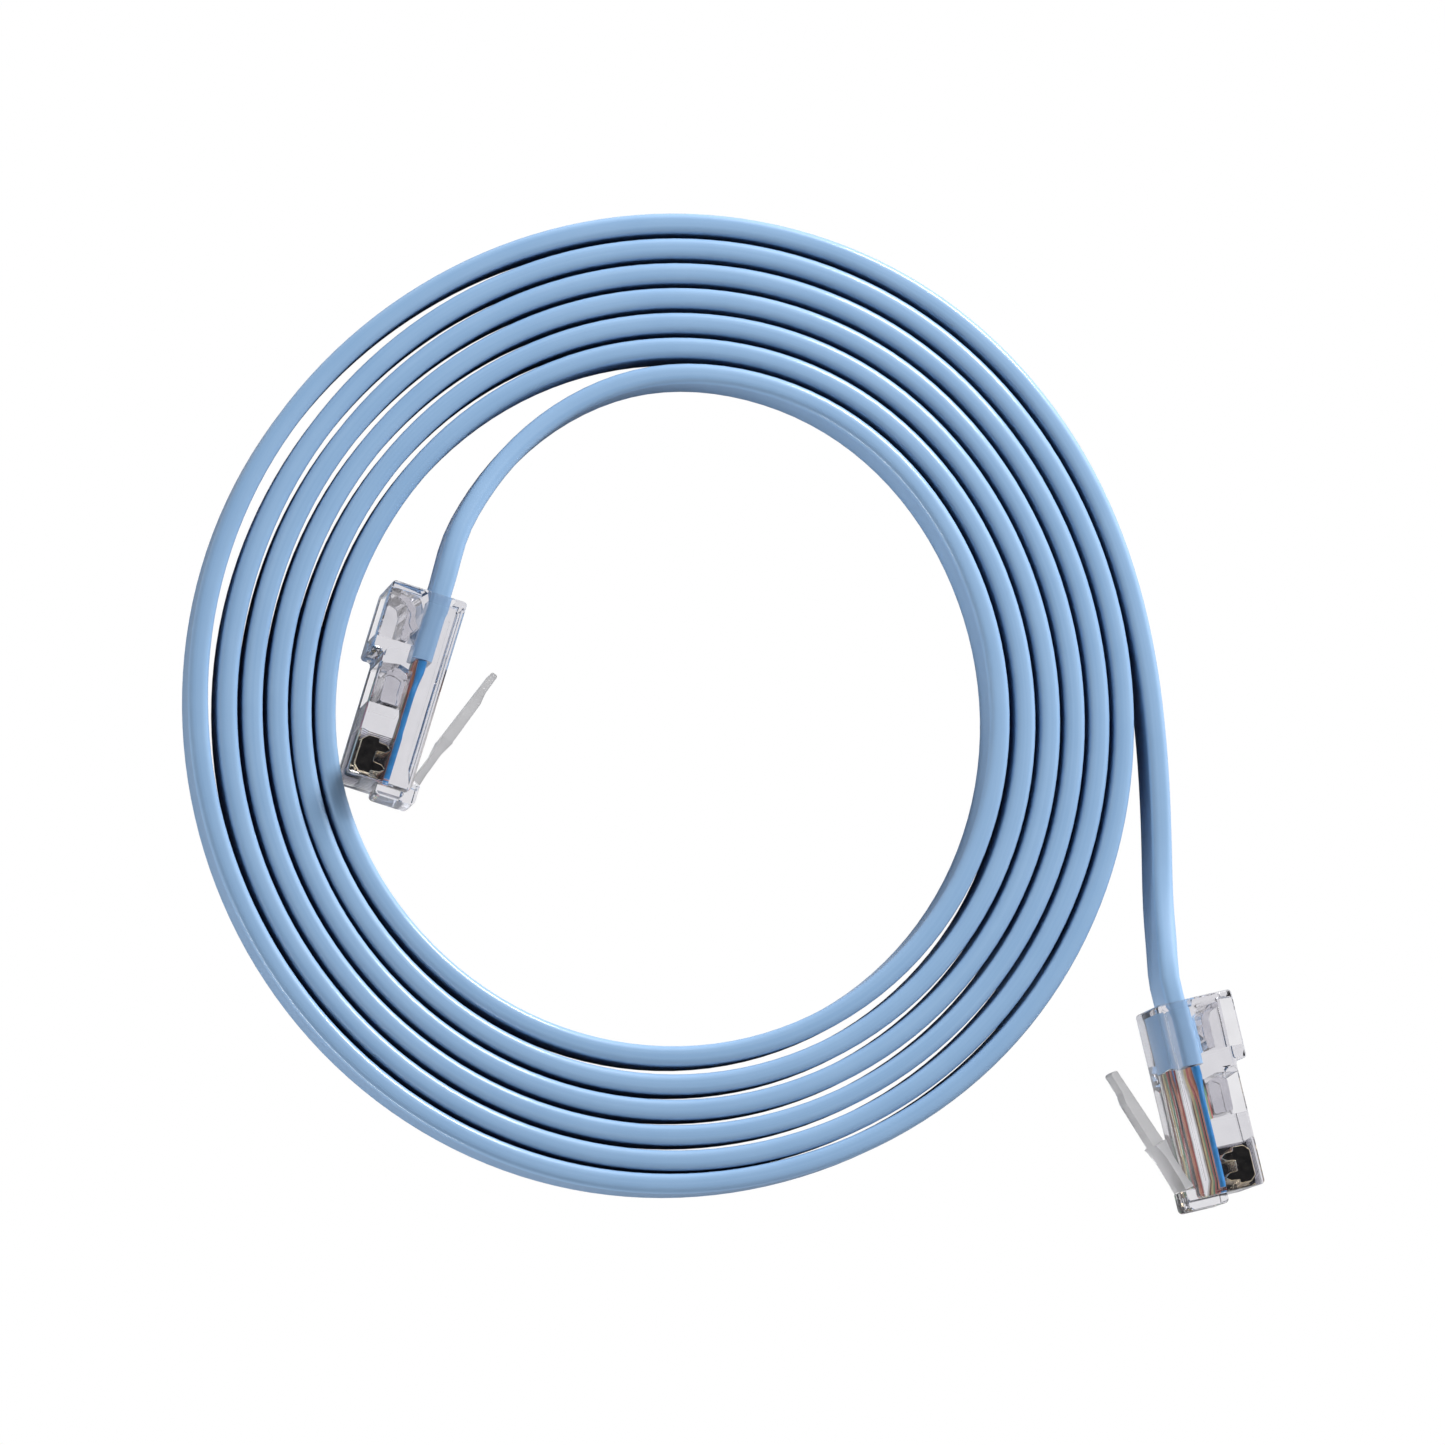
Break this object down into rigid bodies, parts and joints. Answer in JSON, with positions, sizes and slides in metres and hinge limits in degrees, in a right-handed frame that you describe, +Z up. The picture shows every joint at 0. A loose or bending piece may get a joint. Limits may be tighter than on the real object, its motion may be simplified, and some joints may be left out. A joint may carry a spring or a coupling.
{
  "type": "flat ethernet patch cable",
  "caption": "Flat light-blue network cable wound on edge into a flat coil, with a clear modular plug and sprung latch on each end.",
  "frame": {"origin": "on the table, under the middle of the two plugs' bounding box", "axes": "+Z up from the table; +X from the plug inside the coil towards the plug outside it; +Y across, towards the side of the coil away from the outer plug"},
  "size_m": [0.1115, 0.1026, 0.0117],
  "materials": {
    "jacket": "soft PVC, slight sheen",
    "clear_plastic": "clear polycarbonate, glossy",
    "contact_metal": "gold-plated bronze, polished edge",
    "conductor_blue": "insulated stranded wire",
    "conductor_orange": "insulated stranded wire",
    "conductor_black": "insulated stranded wire",
    "conductor_red": "insulated stranded wire",
    "conductor_green": "insulated stranded wire",
    "conductor_yellow": "insulated stranded wire",
    "conductor_brown": "insulated stranded wire",
    "conductor_white": "insulated stranded wire"
  },
  "bodies": {
    "cable_assembly": {"cable_coil": "jacket", "cable_inner_end": "jacket", "cable_outer_end": "jacket", "plug_a_housing": "clear_plastic", "plug_a_jacket_clamp": "clear_plastic", "plug_a_conductor_clamp": "clear_plastic", "plug_a_contact_1": "contact_metal", "plug_a_contact_2": "contact_metal", "plug_a_contact_3": "contact_metal", "plug_a_contact_4": "contact_metal", "plug_a_contact_5": "contact_metal", "plug_a_contact_6": "contact_metal", "plug_a_contact_7": "contact_metal", "plug_a_contact_8": "contact_metal", "plug_a_conductor_1": "conductor_blue", "plug_a_conductor_2": "conductor_orange", "plug_a_conductor_3": "conductor_black", "plug_a_conductor_4": "conductor_red", "plug_a_conductor_5": "conductor_green", "plug_a_conductor_6": "conductor_yellow", "plug_a_conductor_7": "conductor_brown", "plug_a_conductor_8": "conductor_white", "plug_b_housing": "clear_plastic", "plug_b_jacket_clamp": "clear_plastic", "plug_b_conductor_clamp": "clear_plastic", "plug_b_contact_1": "contact_metal", "plug_b_contact_2": "contact_metal", "plug_b_contact_3": "contact_metal", "plug_b_contact_4": "contact_metal", "plug_b_contact_5": "contact_metal", "plug_b_contact_6": "contact_metal", "plug_b_contact_7": "contact_metal", "plug_b_contact_8": "contact_metal", "plug_b_conductor_1": "conductor_white", "plug_b_conductor_2": "conductor_brown", "plug_b_conductor_3": "conductor_yellow", "plug_b_conductor_4": "conductor_green", "plug_b_conductor_5": "conductor_red", "plug_b_conductor_6": "conductor_black", "plug_b_conductor_7": "conductor_orange", "plug_b_conductor_8": "conductor_blue"},
    "plug_a_latch_arm": {"plug_a_latch": "clear_plastic"},
    "plug_b_latch_arm": {"plug_b_latch": "clear_plastic"}
  },
  "joints": [
    {"name": "plug_a_latch_flex", "type": "hinge", "parent": "cable_assembly", "child": "plug_a_latch_arm", "pos_m": [-0.03971, 0.01118, 0.00584], "axis": [0, 0, 1], "range_deg": [0, 15], "stiffness_Nm_per_rad": 0.15},
    {"name": "plug_b_latch_flex", "type": "hinge", "parent": "cable_assembly", "child": "plug_b_latch_arm", "pos_m": [0.03967, -0.02891, 0.00584], "axis": [0, 0, -1], "range_deg": [0, 15], "stiffness_Nm_per_rad": 0.15}
  ]
}
